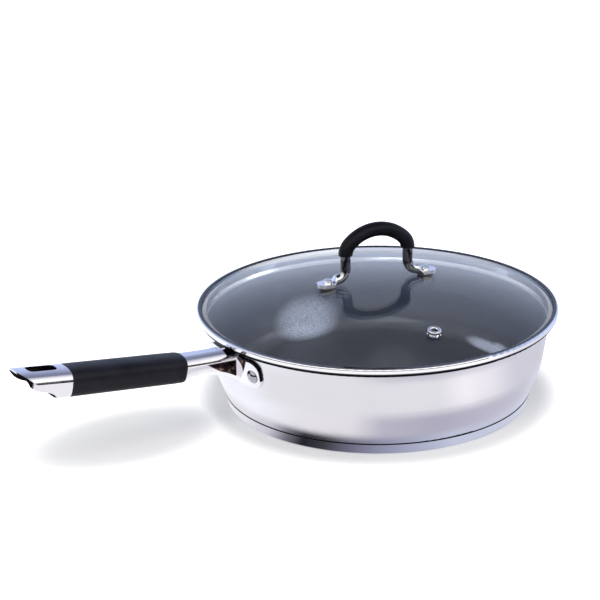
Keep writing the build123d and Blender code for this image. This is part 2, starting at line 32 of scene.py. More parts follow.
camera_back = Vector((
    math.cos(camera_rise) * math.cos(camera_turn),
    math.cos(camera_rise) * math.sin(camera_turn),
    math.sin(camera_rise),
))
camera_level = Vector((-math.sin(camera_turn), math.cos(camera_turn), 0))
camera_upright = camera_back.cross(camera_level)
camera_aim = Vector((0, 0, aim_height)) + camera_level * aim_right + camera_upright * aim_up
rolled_level = camera_level * math.cos(camera_roll) + camera_upright * math.sin(camera_roll)
rolled_upright = camera_upright * math.cos(camera_roll) - camera_level * math.sin(camera_roll)
camera_axes = Matrix((rolled_level, rolled_upright, camera_back)).transposed().to_4x4()
camera_data = bpy.data.cameras.new("camera")
camera_data.lens = camera_lens
camera_data.sensor_width = camera_sensor
camera = bpy.data.objects.new("camera", camera_data)
camera.matrix_world = Matrix.Translation(camera_aim + camera_back * camera_distance) @ camera_axes
bpy.context.collection.objects.link(camera)
bpy.context.scene.camera = camera
bpy.context.scene.view_settings.view_transform = "Standard"

# Room: a white studio with a dark ceiling and a dark strip low on the near side. Behind the pan
# it is blue-grey, darker with height. The eye sees plain white, also through glass, and metal and
# glass mirror the room. Both rows of tones run from the horizon, 0.5, to overhead, 1.
room_light = (0.93, 0.94, 1.0)
room_strength = 0.75
far_turn = camera_turn + math.pi
side_blend = 0.25  # how far to each side the near and far tones mix
near_tones = (
    (0.495, 1.0), (0.505, 0.02), (0.56, 0.02), (0.585, 1.1),
    (0.64, 1.25), (0.885, 1.2), (0.925, 0.03), (1.0, 0.02),
)
far_tones = (
    (0.50, (0.64, 0.80, 1.20)), (0.60, (0.62, 0.74, 1.08)),
    (0.66, (0.52, 0.62, 0.92)), (0.76, (0.42, 0.49, 0.72)),
    (0.86, (0.28, 0.32, 0.47)), (0.93, (0.2, 0.22, 0.32)),
    (0.955, (0.03, 0.03, 0.04)), (1.0, (0.02, 0.02, 0.03)),
)


def put(tree, kind, **values):
    """One node, with its settings and the values of its plain sockets."""
    node = tree.nodes.new(kind)
    for key, value in values.items():
        if key in node.inputs:
            node.inputs[key].default_value = value
        else:
            setattr(node, key, value)
    return node


def tie(tree, *pairs):
    """Links outputs to inputs, given two by two."""
    for start, end in pairs:
        tree.links.new(start, end)


def figure(tree, operation, *values):
    """The result of a sum on outputs or plain numbers."""
    node = put(tree, "ShaderNodeMath", operation=operation)
    for socket, value in zip(node.inputs, values):
        if isinstance(value, (int, float)):
            socket.default_value = value
        else:
            tree.links.new(value, socket)
    return node.outputs[0]


def tones(tree, factor, stops):
    """Colours along a ramp: places with greys or colours."""
    node = put(tree, "ShaderNodeValToRGB")
    tree.links.new(factor, node.inputs["Fac"])
    ramp = node.color_ramp
    while len(ramp.elements) > 1:
        ramp.elements.remove(ramp.elements[-1])
    for index, (place, tone) in enumerate(stops):
        stop = ramp.elements[0] if index == 0 else ramp.elements.new(place)
        stop.position = place
        colour = (tone, tone, tone) if isinstance(tone, (int, float)) else tone
        stop.color = (*colour, 1)
    return node.outputs["Color"]


def blended(tree, factor, first, second):
    """A mix of two colours, each an output or a plain colour."""
    node = put(tree, "ShaderNodeMix", data_type="RGBA")
    tree.links.new(factor, node.inputs[0])
    for socket, value in ((node.inputs[6], first), (node.inputs[7], second)):
        if isinstance(value, tuple):
            socket.default_value = (*value, 1)
        else:
            tree.links.new(value, socket)
    return node.outputs[2]


def eye_and_shine(tree):
    """Masks of the eye's rays, also through glass, and of rays that gloss mirrors or glass sends on."""
    path = put(tree, "ShaderNodeLightPath").outputs
    return figure(tree, "MAXIMUM", path["Is Camera Ray"], path["Is Transmission Ray"]), path["Is Glossy Ray"]


room = bpy.data.worlds.new("studio_room")
room.use_nodes = True
tree = room.node_tree
tree.nodes.clear()
way = put(tree, "ShaderNodeSeparateXYZ")
tie(tree, (put(tree, "ShaderNodeTexCoord").outputs["Generated"], way.inputs[0]))
rise = figure(tree, "MULTIPLY_ADD", way.outputs["Z"], 0.5, 0.5)
along = figure(tree, "MULTIPLY", way.outputs["X"], math.cos(far_turn))
across = figure(tree, "MULTIPLY", way.outputs["Y"], math.sin(far_turn))
far_share = put(tree, "ShaderNodeMapRange", **{"From Min": -side_blend, "From Max": side_blend})
tie(tree, (figure(tree, "ADD", along, across), far_share.inputs["Value"]))
mirrored = blended(
    tree, far_share.outputs["Result"], tones(tree, rise, near_tones), tones(tree, rise, far_tones)
)
seen, shone = eye_and_shine(tree)
shine = put(tree, "ShaderNodeBackground", Strength=1.0)
glow = put(tree, "ShaderNodeBackground", Color=(*room_light, 1), Strength=room_strength)
white = put(tree, "ShaderNodeBackground", Color=(1, 1, 1, 1), Strength=1.0)
for_metal = put(tree, "ShaderNodeMixShader")
for_eye = put(tree, "ShaderNodeMixShader")
tie(
    tree,
    (mirrored, shine.inputs["Color"]),
    (shone, for_metal.inputs["Fac"]),
    (glow.outputs[0], for_metal.inputs[1]),
    (shine.outputs[0], for_metal.inputs[2]),
    (seen, for_eye.inputs["Fac"]),
    (for_metal.outputs[0], for_eye.inputs[1]),
    (white.outputs[0], for_eye.inputs[2]),
    (for_eye.outputs[0], put(tree, "ShaderNodeOutputWorld").inputs["Surface"]),
)
bpy.context.scene.world = room

# Floor: a seamless white table top that keeps the pan's shadow. Metal mirrors three cards on it
# instead, for the base, the foot of the wall and the rest, and a dark strip in front. They show
# through the lid's glass too. A card's tones run round the pan: 0 behind, 0.5 in front, 1 behind.
floor_half = 6.0
floor_drop = 0.0001
floor_cloth = (0.62, 0.62, 0.615)
wall_card_tones = (
    (0.0, (1.1, 1.15, 1.25)), (0.30, (1.15, 1.2, 1.3)), (0.35, (1.0, 1.0, 1.03)),
    (0.57, (1.0, 0.99, 1.02)), (0.61, (1.2, 1.18, 1.2)), (0.65, (1.08, 1.06, 1.1)),
    (0.70, (0.82, 0.81, 0.9)), (0.78, (0.74, 0.74, 0.82)), (0.86, (0.75, 0.8, 0.95)),
)
low_card_tones = (
    (0.0, (1.15, 1.2, 1.3)), (0.34, (1.15, 1.18, 1.25)), (0.40, (1.03, 1.02, 1.05)),
    (0.465, (1.0, 0.98, 1.01)), (0.50, (0.64, 0.62, 0.72)), (0.56, (0.56, 0.55, 0.66)),
    (0.62, (0.64, 0.62, 0.74)), (0.7, (0.7, 0.7, 0.8)), (0.8, (0.85, 0.88, 1.0)),
)
base_card_tones = (
    (0.0, (0.9, 0.9, 0.95)), (0.327, (0.96, 0.96, 0.98)), (0.367, (0.75, 0.74, 0.8)),
    (0.392, (0.22, 0.21, 0.25)), (0.413, (0.02, 0.02, 0.03)), (0.439, (0.06, 0.06, 0.07)),
    (0.471, (0.22, 0.22, 0.3)), (0.5, (0.36, 0.37, 0.5)), (0.576, (0.69, 0.73, 0.88)),
    (0.7, (0.75, 0.78, 0.9)),
)
card_edges = ((0.1275, 0.132), (0.148, 0.175))  # from the pan's axis, where a card gives way to the next
strip_start = (0.40, 0.46)  # from the pan's axis
strip_front = 0.2  # from the pan towards the camera
strip_tone = (0.01, 0.01, 0.012)

# For the eye the floor is lifted to white away from the pan, and less so near the pan and under
# the long handle, which paints a soft shadow next to the pan's base and under the handle.
white_near = 0.19
white_far = 0.99
white_reach = (0.126, 0.162)
shadow_middle = (-0.205, 0.040)
shadow_half = (0.110, 0.065)
shadow_fade = (0.2, 1.1)  # squared shares of the half sizes
shadow_white = 0.28


def square_sum(tree, *parts):
    """The sum of the squares of outputs."""
    total = figure(tree, "MULTIPLY", parts[0], parts[0])
    for part in parts[1:]:
        total = figure(tree, "ADD", total, figure(tree, "MULTIPLY", part, part))
    return total


floor_mesh = bpy.data.meshes.new("floor")
floor_sides = ((-1, -1), (1, -1), (1, 1), (-1, 1))
floor_corners = [(floor_half * x, floor_half * y, -floor_drop) for x, y in floor_sides]
floor_mesh.from_pydata(floor_corners, [], [(0, 1, 2, 3)])
floor = bpy.data.objects.new("floor", floor_mesh)
bpy.context.collection.objects.link(floor)

floor_finish = bpy.data.materials.new("white_table")
floor_finish.use_nodes = True
tree = floor_finish.node_tree
tree.nodes.clear()
spot = put(tree, "ShaderNodeSeparateXYZ")
tie(tree, (put(tree, "ShaderNodeTexCoord").outputs["Object"], spot.inputs[0]))
spot_x, spot_y = spot.outputs["X"], spot.outputs["Y"]
front = figure(
    tree, "ADD",
    figure(tree, "MULTIPLY", spot_x, math.cos(camera_turn)),
    figure(tree, "MULTIPLY", spot_y, math.sin(camera_turn)),
)
right = figure(
    tree, "SUBTRACT",
    figure(tree, "MULTIPLY", spot_y, math.cos(camera_turn)),
    figure(tree, "MULTIPLY", spot_x, math.sin(camera_turn)),
)
turn = figure(tree, "MULTIPLY_ADD", figure(tree, "ARCTAN2", right, front), 0.5 / math.pi, 0.5)
reach = figure(tree, "SQRT", square_sum(tree, spot_x, spot_y))
low_card, wall_card, strip = (
    put(tree, "ShaderNodeMapRange", **{"From Min": start, "From Max": end})
    for start, end in (*card_edges, strip_start)
)
for card in (low_card, wall_card, strip):
    tie(tree, (reach, card.inputs["Value"]))
strip_mask = figure(
    tree, "MULTIPLY", strip.outputs["Result"], figure(tree, "GREATER_THAN", front, strip_front)
)
on_base_card = blended(
    tree, low_card.outputs["Result"], tones(tree, turn, base_card_tones), tones(tree, turn, low_card_tones)
)
on_wall_card = blended(tree, strip_mask, tones(tree, turn, wall_card_tones), strip_tone)

far_white = put(tree, "ShaderNodeMapRange", interpolation_type="SMOOTHSTEP", **{
    "From Min": white_reach[0], "From Max": white_reach[1], "To Min": white_near, "To Max": white_far,
})
# A lower lift under the long handle paints its soft shadow on the floor.
handle_white = put(tree, "ShaderNodeMapRange", interpolation_type="SMOOTHSTEP", **{
    "From Min": shadow_fade[0], "From Max": shadow_fade[1], "To Min": shadow_white, "To Max": white_far,
})
off_shadow = square_sum(tree, *(
    figure(tree, "DIVIDE", figure(tree, "SUBTRACT", here, middle), half)
    for here, middle, half in zip((spot_x, spot_y), shadow_middle, shadow_half)
))
cloth = put(tree, "ShaderNodeBsdfDiffuse", Color=(*floor_cloth, 1))
lift = put(tree, "ShaderNodeEmission")
cards = put(tree, "ShaderNodeEmission", Strength=1.0)
bright = put(tree, "ShaderNodeAddShader")
seen, shone = eye_and_shine(tree)
for_eye = put(tree, "ShaderNodeMixShader")
for_metal = put(tree, "ShaderNodeMixShader")
tie(
    tree,
    (reach, far_white.inputs["Value"]),
    (off_shadow, handle_white.inputs["Value"]),
    (
        figure(tree, "MINIMUM", far_white.outputs["Result"], handle_white.outputs["Result"]),
        lift.inputs["Strength"],
    ),
    (blended(tree, wall_card.outputs["Result"], on_base_card, on_wall_card), cards.inputs["Color"]),
    (cloth.outputs[0], bright.inputs[0]),
    (lift.outputs[0], bright.inputs[1]),
    (seen, for_eye.inputs["Fac"]),
    (cloth.outputs[0], for_eye.inputs[1]),
    (bright.outputs[0], for_eye.inputs[2]),
    (shone, for_metal.inputs["Fac"]),
    (for_eye.outputs[0], for_metal.inputs[1]),
    (cards.outputs[0], for_metal.inputs[2]),
    (for_metal.outputs[0], put(tree, "ShaderNodeOutputMaterial").inputs["Surface"]),
)
floor_mesh.materials.append(floor_finish)

# Lamps: a large softbox above the pan on the camera's left, and a weaker, lower one at the
# right. Each stands at a place, with its two sides in metres and its power in watts.
lamp_aim = (0, 0, 0.05)
softboxes = {
    "key_softbox": ((-1.1, -0.9, 1.5), (0.9, 0.9), 16),
    "side_softbox": ((1.3, -0.9, 0.9), (0.7, 1.1), 8),
}
for name, (stand, sides, power) in softboxes.items():
    light = bpy.data.lights.new(name, "AREA")
    light.shape = "RECTANGLE"
    light.size, light.size_y = sides
    light.energy = power
    lamp = bpy.data.objects.new(name, light)
    lamp.location = stand
    lamp.visible_glossy = False
    lamp.rotation_euler = (Vector(lamp_aim) - Vector(stand)).to_track_quat("-Z", "Y").to_euler()
    bpy.context.collection.objects.link(lamp)

# Pan shell: stainless sheet, spun and pressed, so fine rings run round it. It is satin on the
# wall, with painted shade in the crease under the lid's band, and dark along the seam over the base.
shell_colour = (0.765, 0.755, 0.785)
shell_groove = 0.9
crease_shade_and_seam_colour = (0.004, 0.004, 0.005)
shell_rings = 2600.0
shell_ring_depth = 0.000006
shell_roughness = (0.15, 0.26)
shell_smudges = 30.0
lip_crease = (0.0688, 0.0713)
base_seam = (0.0076, 0.0090)
seam_blur = 0.0003


def effect(name, inputs, outputs):
    """An empty node group with named sockets, and its ends."""
    group = bpy.data.node_groups.new(name, "ShaderNodeTree")
    for socket, value in inputs.items():
        made = group.interface.new_socket(socket, in_out="INPUT", socket_type="NodeSocketFloat")
        made.default_value = value
    for socket in outputs:
        group.interface.new_socket(socket, in_out="OUTPUT", socket_type="NodeSocketFloat")
    return group, group.nodes.new("NodeGroupInput"), group.nodes.new("NodeGroupOutput")


def fitted(tree, group, **values):
    """A node group placed in a material, with its own values."""
    node = tree.nodes.new("ShaderNodeGroup")
    node.node_tree = group
    for key, value in values.items():
        node.inputs[key].default_value = value
    return node


def piece_spot(tree):
    """A point's place on its own piece."""
    return put(tree, "ShaderNodeTexCoord").outputs["Object"]


def piece_place(tree):
    """A point's place on its own piece, split into x, y and z."""
    split = put(tree, "ShaderNodeSeparateXYZ")
    tree.links.new(piece_spot(tree), split.inputs[0])
    return split.outputs


def axis_reach(tree, place):
    """Distance of a point from the pan's axis."""
    return figure(tree, "SQRT", square_sum(tree, place[0], place[1]))


# Rings that a lathe leaves: bands of noise by distance from the axis and height.
ring_tones = ((0.3, 0.9), (0.5, 1.0), (0.7, 0.94))
spun_rings, into, out_of = effect("spun_rings", {"Rings": 2000.0}, ["Height", "Tone"])
place = piece_place(spun_rings)
profile = figure(spun_rings, "ADD", axis_reach(spun_rings, place), place[2])
ring_noise = put(spun_rings, "ShaderNodeTexNoise", noise_dimensions="1D", Detail=3.0, Roughness=0.65)
tie(
    spun_rings,
    (figure(spun_rings, "MULTIPLY", profile, into.outputs["Rings"]), ring_noise.inputs["W"]),
    (ring_noise.outputs["Fac"], out_of.inputs["Height"]),
    (tones(spun_rings, ring_noise.outputs["Fac"], ring_tones), out_of.inputs["Tone"]),
)

# Marks of use: soft smudges from hands and cloths, and a few fine scuffs.
smudge_tones = ((0.35, 0.0), (0.7, 1.0))
scuff_tones = ((0.66, 0.0), (0.72, 1.0))
scuff_fineness = 6.0
use_marks, into, out_of = effect("use_marks", {"Size": 40.0}, ["Smudge", "Scuff"])
spot = piece_spot(use_marks)
smudge_noise = put(use_marks, "ShaderNodeTexNoise", Detail=4.0, Roughness=0.6, Distortion=0.6)
scuff_noise = put(use_marks, "ShaderNodeTexNoise", Detail=2.0, Roughness=0.5)
scuff_stretch = put(use_marks, "ShaderNodeMapping", Scale=(9.0, 1.2, 5.0), Rotation=(0.4, 0.3, 0.7))
tie(
    use_marks,
    (spot, smudge_noise.inputs["Vector"]),
    (into.outputs["Size"], smudge_noise.inputs["Scale"]),
    (spot, scuff_stretch.inputs["Vector"]),
    (scuff_stretch.outputs[0], scuff_noise.inputs["Vector"]),
    (figure(use_marks, "MULTIPLY", into.outputs["Size"], scuff_fineness), scuff_noise.inputs["Scale"]),
    (tones(use_marks, smudge_noise.outputs["Fac"], smudge_tones), out_of.inputs["Smudge"]),
    (tones(use_marks, scuff_noise.outputs["Fac"], scuff_tones), out_of.inputs["Scuff"]),
)

# A band between two heights, with soft edges: it marks a dark seam, painted shade in a crease and
# under the lid's band, and the coating's painted highlight along its edge.
dark_band, into, out_of = effect("dark_band", {"Low": 0.0, "High": 0.001, "Blur": 0.0004}, ["Mask"])
height = piece_place(dark_band)[2]
above, below = (
    figure(dark_band, "DIVIDE", figure(dark_band, "SUBTRACT", upper, lower), into.outputs["Blur"])
    for upper, lower in ((height, into.outputs["Low"]), (into.outputs["High"], height))
)
band_mask = figure(dark_band, "MINIMUM", above, below)
band_mask.node.use_clamp = True
tie(dark_band, (band_mask, out_of.inputs["Mask"]))


def finish(name, **values):
    """A new material with its tree and its shader, which is joined to the output."""
    material = bpy.data.materials.new(name)
    material.use_nodes = True
    tree = material.node_tree
    tree.nodes.clear()
    shader = put(tree, "ShaderNodeBsdfPrincipled")
    for key, value in values.items():
        shader.inputs[key.replace("_", " ")].default_value = value
    tie(tree, (shader.outputs[0], put(tree, "ShaderNodeOutputMaterial").inputs["Surface"]))
    return material, tree, shader


def between(tree, share, span):
    """A value that runs over a span as a share goes from 0 to 1."""
    node = put(tree, "ShaderNodeMapRange", **{"To Min": span[0], "To Max": span[1]})
    tree.links.new(share, node.inputs["Value"])
    return node.outputs["Result"]


def darker(colour, share):
    """A share of a colour."""
    return tuple(share * part for part in colour)


def bumped(tree, shader, height, depth):
    """Relief on a shader, from a height of 0 to 1 and its depth in metres."""
    bump = put(tree, "ShaderNodeBump", Strength=1.0, Distance=depth)
    tie(tree, (height, bump.inputs["Height"]), (bump.outputs["Normal"], shader.inputs["Normal"]))


def dress(material, *names):
    """Gives pieces of the frame their material."""
    for name in names:
        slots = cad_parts[name].data.materials
        slots.clear()
        slots.append(material)


shell_steel, tree, shader = finish("satin_shell_steel", Metallic=1.0)
rings = fitted(tree, spun_rings, Rings=shell_rings)
marks = fitted(tree, use_marks, Size=shell_smudges)
# The crease under the lid's band is painted shade; the seam over the base is a dark joint.
crease, seam = (
    fitted(tree, dark_band, Low=low, High=high, Blur=seam_blur) for low, high in (lip_crease, base_seam)
)
crease_shade_and_seam_mask = figure(tree, "MAXIMUM", crease.outputs["Mask"], seam.outputs["Mask"])
satin = blended(tree, rings.outputs["Tone"], darker(shell_colour, shell_groove), shell_colour)
tie(
    tree,
    (blended(tree, crease_shade_and_seam_mask, satin, crease_shade_and_seam_colour), shader.inputs["Base Color"]),
    (between(tree, marks.outputs["Smudge"], shell_roughness), shader.inputs["Roughness"]),
)
bumped(tree, shader, rings.outputs["Height"], shell_ring_depth)
dress(shell_steel, "pan_shell")

# Nonstick coating: sprayed and baked on in a slate blue, with fine metal flakes in it. It is
# painted paler up the wall as a painted sheen, has painted highlights in two places, one far and one
# at the right, and ends in a pale edge, a painted highlight. A highlight is given by its middle and its
# three reaches.
coating_shades = (
    (0.0, (0.007, 0.0105, 0.020)), (0.06, (0.008, 0.012, 0.023)), (0.14, (0.015, 0.022, 0.046)),
    (0.55, (0.028, 0.042, 0.09)), (0.85, (0.075, 0.105, 0.175)), (1.0, (0.15, 0.19, 0.28)),
)
coating_span = (0.0084, 0.0644)
coating_edge = (0.0634, 0.0644)
coating_edge_highlight = (0.62, 0.68, 0.78)
coating_roughness = (0.34, 0.44)
coating_clouds = 60.0
flakes = 2600.0
flake_tones = ((0.0, 0.78), (0.7, 1.0), (0.93, 1.25), (1.0, 1.8))
flake_depth = 0.00001
highlight_paint_colour = (0.68, 0.73, 0.88)
painted_highlight_spots = (
    ((0.016, 0.123, 0.020), (0.036, 0.022, 0.024)),
    ((0.1155, 0.002, 0.0095), (0.008, 0.034, 0.006)),
    ((0.1165, -0.010, 0.0100), (0.008, 0.018, 0.007)),
)
sparkles = 900.0
sparkle_tones = ((0.3, 0.4), (0.7, 1.0))

# A soft spot round a place on a piece: 1 in its middle, 0 outside its reach.
soft_spot, into, out_of = effect(
    "soft_spot", {"X": 0.0, "Y": 0.0, "Z": 0.0, "Wide": 0.01, "Deep": 0.01, "Tall": 0.01}, ["Mask"]
)
offsets = [
    figure(soft_spot, "SUBTRACT", here, into.outputs[middle])
    for here, middle in zip(piece_place(soft_spot), ("X", "Y", "Z"))
]
away = square_sum(soft_spot, *(
    figure(soft_spot, "DIVIDE", offset, into.outputs[reach])
    for offset, reach in zip(offsets, ("Wide", "Deep", "Tall"))
))
fade = put(
    soft_spot, "ShaderNodeMapRange", interpolation_type="SMOOTHSTEP", **{"To Min": 1.0, "To Max": 0.0}
)
tie(soft_spot, (away, fade.inputs["Value"]), (fade.outputs["Result"], out_of.inputs["Mask"]))


def spotted(tree, *spots):
    """The mask of one or more soft spots, each a middle and its three reaches."""
    (x, y, z), (wide, deep, tall) = spots[0]
    mask = fitted(tree, soft_spot, X=x, Y=y, Z=z, Wide=wide, Deep=deep, Tall=tall).outputs["Mask"]
    return mask if len(spots) == 1 else figure(tree, "MAXIMUM", mask, spotted(tree, *spots[1:]))


coating, tree, shader = finish("slate_coating", Coat_Weight=0.1, Coat_Roughness=0.25)
flake_cells = put(tree, "ShaderNodeTexVoronoi", Scale=flakes)
cloud = put(tree, "ShaderNodeTexNoise", Scale=coating_clouds, Detail=3.0)
sparkle = put(tree, "ShaderNodeTexNoise", Scale=sparkles, Detail=2.0)
chip = put(tree, "ShaderNodeSeparateColor")
# The coating's colour runs paler up the wall, a painted sheen.
up_wall = put(tree, "ShaderNodeMapRange", **{"From Min": coating_span[0], "From Max": coating_span[1]})
slate = put(tree, "ShaderNodeMix", data_type="RGBA", blend_type="MULTIPLY")
slate.inputs[0].default_value = 1.0
for noise in (flake_cells, cloud, sparkle):
    tie(tree, (piece_spot(tree), noise.inputs["Vector"]))
tie(
    tree,
    (flake_cells.outputs["Color"], chip.inputs[0]),
    (piece_place(tree)[2], up_wall.inputs["Value"]),
    (tones(tree, up_wall.outputs["Result"], coating_shades), slate.inputs[6]),
    (tones(tree, chip.outputs[0], flake_tones), slate.inputs[7]),
)
# The spots are painted highlights, speckled by fine noise.
painted_highlight_mask = figure(
    tree, "MULTIPLY", spotted(tree, *painted_highlight_spots), tones(tree, sparkle.outputs["Fac"], sparkle_tones)
)
below_edge = blended(tree, painted_highlight_mask, slate.outputs[2], highlight_paint_colour)
# The pale edge is a painted highlight.
edge = fitted(tree, dark_band, Low=coating_edge[0], High=coating_edge[1], Blur=seam_blur)
tie(
    tree,
    (blended(tree, edge.outputs["Mask"], below_edge, coating_edge_highlight), shader.inputs["Base Color"]),
    (between(tree, cloud.outputs["Fac"], coating_roughness), shader.inputs["Roughness"]),
)
bumped(tree, shader, chip.outputs[1], flake_depth)
dress(coating, "nonstick_coating")

# Base: an aluminium disc pressed on under the floor, closed by a spun steel cap whose edge shows
# as a ring at the foot, with fine rings from the lathe and a few scuffs.
cap_colour = (0.78, 0.78, 0.83)
cap_groove = 0.82
cap_rings = 3600.0
cap_ring_depth = 0.000004
cap_roughness = (0.11, 0.3)
cap_scuffs = 60.0
core_colour = (0.72, 0.72, 0.72)
core_stain = 0.8
core_roughness = (0.4, 0.6)
core_depth = 0.00003
core_grain = 120.0

cap_steel, tree, shader = finish("spun_base_steel", Metallic=1.0)
rings = fitted(tree, spun_rings, Rings=cap_rings)
marks = fitted(tree, use_marks, Size=cap_scuffs)
spun = blended(tree, rings.outputs["Tone"], darker(cap_colour, cap_groove), cap_colour)
tie(
    tree,
    (spun, shader.inputs["Base Color"]),
    (between(tree, marks.outputs["Scuff"], cap_roughness), shader.inputs["Roughness"]),
)
bumped(tree, shader, rings.outputs["Height"], cap_ring_depth)
dress(cap_steel, "base_cap")

core_metal, tree, shader = finish("cast_aluminium", Metallic=1.0)
marks = fitted(tree, use_marks, Size=core_grain)
cast = blended(tree, marks.outputs["Smudge"], core_colour, darker(core_colour, core_stain))
tie(
    tree,
    (cast, shader.inputs["Base Color"]),
    (between(tree, marks.outputs["Smudge"], core_roughness), shader.inputs["Roughness"]),
)
bumped(tree, shader, marks.outputs["Smudge"], core_depth)
dress(core_metal, "base_core")

# Long handle's bracket: a neck and two flanges folded from steel sheet, riveted to the wall and
# polished, with faint lines left along the handle by the belt. The web in the fold behind each
# flange is painted dark as a painted reflection, and the flange's outline is painted dark as shade and
# reflection.
polish_colour = (0.86, 0.84, 0.87)
polish_smudged = 0.93
polish_lines = (30.0, 1400.0, 1400.0)
polish_line_depth = 0.000002
polish_roughness = (0.03, 0.08)
handle_smudges = 50.0
flange_half_width = 0.032
flange_middle = 0.0542
flange_half_height = 0.011
flange_corner = 0.0075
flange_back = -0.139
edge_width = 0.0004
edge_shade = (0.006, 0.005, 0.006)
neck_half_width = 0.0105
fold_low = (0.69, 0.04779)  # slope along the handle and height of the web's lower edge
fold_high = (0.07, 0.05373)  # and of its upper edge
fold_front = -0.1372
fold_half_width = 0.0095
fold_blur = 0.0007
fold_grain = 260.0
fold_shades = ((0.3, (0.006, 0.004, 0.005)), (0.5, (0.03, 0.018, 0.018)), (0.72, (0.22, 0.15, 0.14)))

belt_lines, into, out_of = effect("belt_lines", {"Smudging": 50.0}, ["Height", "Roughness"])
stretch = put(belt_lines, "ShaderNodeMapping", Scale=polish_lines)
line_noise = put(belt_lines, "ShaderNodeTexNoise", Scale=1.0, Detail=2.0)
smear = put(belt_lines, "ShaderNodeTexNoise", Detail=3.0)
spot = piece_spot(belt_lines)
tie(
    belt_lines,
    (spot, stretch.inputs["Vector"]),
    (stretch.outputs[0], line_noise.inputs["Vector"]),
    (spot, smear.inputs["Vector"]),
    (into.outputs["Smudging"], smear.inputs["Scale"]),
    (line_noise.outputs["Fac"], out_of.inputs["Height"]),
    (between(belt_lines, smear.outputs["Fac"], polish_roughness), out_of.inputs["Roughness"]),
)


def polished(name, colour, smudging, *pieces):
    """A mirror finish with belt lines and smudges, given to pieces: its tree and its shader."""
    material, tree, shader = finish(name, Metallic=1.0)
    lines = fitted(tree, belt_lines, Smudging=smudging)
    marks = fitted(tree, use_marks, Size=smudging)
    smudged = blended(tree, marks.outputs["Smudge"], colour, darker(colour, polish_smudged))
    tie(
        tree,
        (smudged, shader.inputs["Base Color"]),
        (lines.outputs["Roughness"], shader.inputs["Roughness"]),
    )
    bumped(tree, shader, lines.outputs["Height"], polish_line_depth)
    dress(material, *pieces)
    return tree, shader


def shaded(tree, shader, mask, shade):
    """Paints a darker colour into a shader where a mask says: painted shade and reflection."""
    before = shader.inputs["Base Color"].links[0].from_socket
    tie(tree, (blended(tree, mask, before, shade), shader.inputs["Base Color"]))


def together(tree, *masks):
    """The product of masks, which is 1 only where each of them is 1."""
    product = masks[0]
    for mask in masks[1:]:
        product = figure(tree, "MULTIPLY", product, mask)
    return product


tree, shader = polished("polished_bracket_steel", polish_colour, handle_smudges, "handle_bracket")
place = piece_place(tree)
off_middle = figure(tree, "ABSOLUTE", place[1])
off_height = figure(tree, "ABSOLUTE", figure(tree, "SUBTRACT", place[2], flange_middle))

# The fold's web lies behind the flange, between two lines that slope along the handle.
over_low = figure(
    tree, "ADD", figure(tree, "ADD", place[2], figure(tree, "MULTIPLY", place[0], fold_low[0])), fold_low[1]
)
high_line = figure(tree, "SUBTRACT", fold_high[1], figure(tree, "MULTIPLY", place[0], fold_high[0]))
under_high = figure(tree, "SUBTRACT", high_line, place[2])
fold = figure(tree, "DIVIDE", figure(tree, "MINIMUM", over_low, under_high), fold_blur)
fold.node.use_clamp = True
fold_mask = together(
    tree, fold, figure(tree, "LESS_THAN", place[0], fold_front),
    figure(tree, "GREATER_THAN", off_middle, fold_half_width),
)
# The web is painted dark with brown flecks, a painted reflection.
fold_reflection_noise = put(tree, "ShaderNodeTexNoise", Scale=fold_grain, Detail=2.0)
tie(tree, (piece_spot(tree), fold_reflection_noise.inputs["Vector"]))
shaded(tree, shader, fold_mask, tones(tree, fold_reflection_noise.outputs["Fac"], fold_shades))

# The flange's outline is a rectangle with round corners, open at its foot and at the neck.
past_side, past_top = (
    figure(tree, "MAXIMUM", figure(tree, "SUBTRACT", off, half - flange_corner), 0.0)
    for off, half in ((off_middle, flange_half_width), (off_height, flange_half_height))
)
from_corner = figure(tree, "SQRT", square_sum(tree, past_side, past_top))
# The outline is painted dark, painted shade and reflection at the flange's edge.
edge_mask = together(
    tree, figure(tree, "GREATER_THAN", from_corner, flange_corner - edge_width),
    figure(tree, "GREATER_THAN", place[0], flange_back),
    figure(tree, "GREATER_THAN", place[2], flange_middle - flange_half_height + flange_corner),
    figure(tree, "GREATER_THAN", off_middle, neck_half_width),
)
shaded(tree, shader, edge_mask, edge_shade)

# Rivets: a steel rod through each flange and the wall, with its outer head pressed into a dome.
# They are polished like the bracket and darker in colour.
rivet_colour = (0.42, 0.42, 0.47)
rivet_smudges = 150.0

polished("polished_rivet_steel", rivet_colour, rivet_smudges, "handle_rivets")

# Tang: a flat steel bar inside the grip, which runs from the bracket's neck to the end piece. It
# is left as it came from the mill.
tang_colours = ((0.5, 0.5, 0.52), (0.4, 0.39, 0.4))
tang_roughness = (0.35, 0.5)
tang_marks = 90.0

tang_steel, tree, shader = finish("plain_tang_steel", Metallic=1.0)
marks = fitted(tree, use_marks, Size=tang_marks)
tie(
    tree,
    (blended(tree, marks.outputs["Smudge"], *tang_colours), shader.inputs["Base Color"]),
    (between(tree, marks.outputs["Scuff"], tang_roughness), shader.inputs["Roughness"]),
)
dress(tang_steel, "handle_core")

# Long handle's grip: a black plastic sleeve with a soft touch, moulded over the tang. Its grain
# is fine, and hands have left it a little paler and smoother in places.
grip_colours = ((0.006, 0.006, 0.009), (0.012, 0.012, 0.017))
grip_grain = 2200.0
grip_grain_depth = 0.00002
grip_roughness = (0.42, 0.34)
worn_tones = ((0.35, 0.0), (0.7, 1.0))

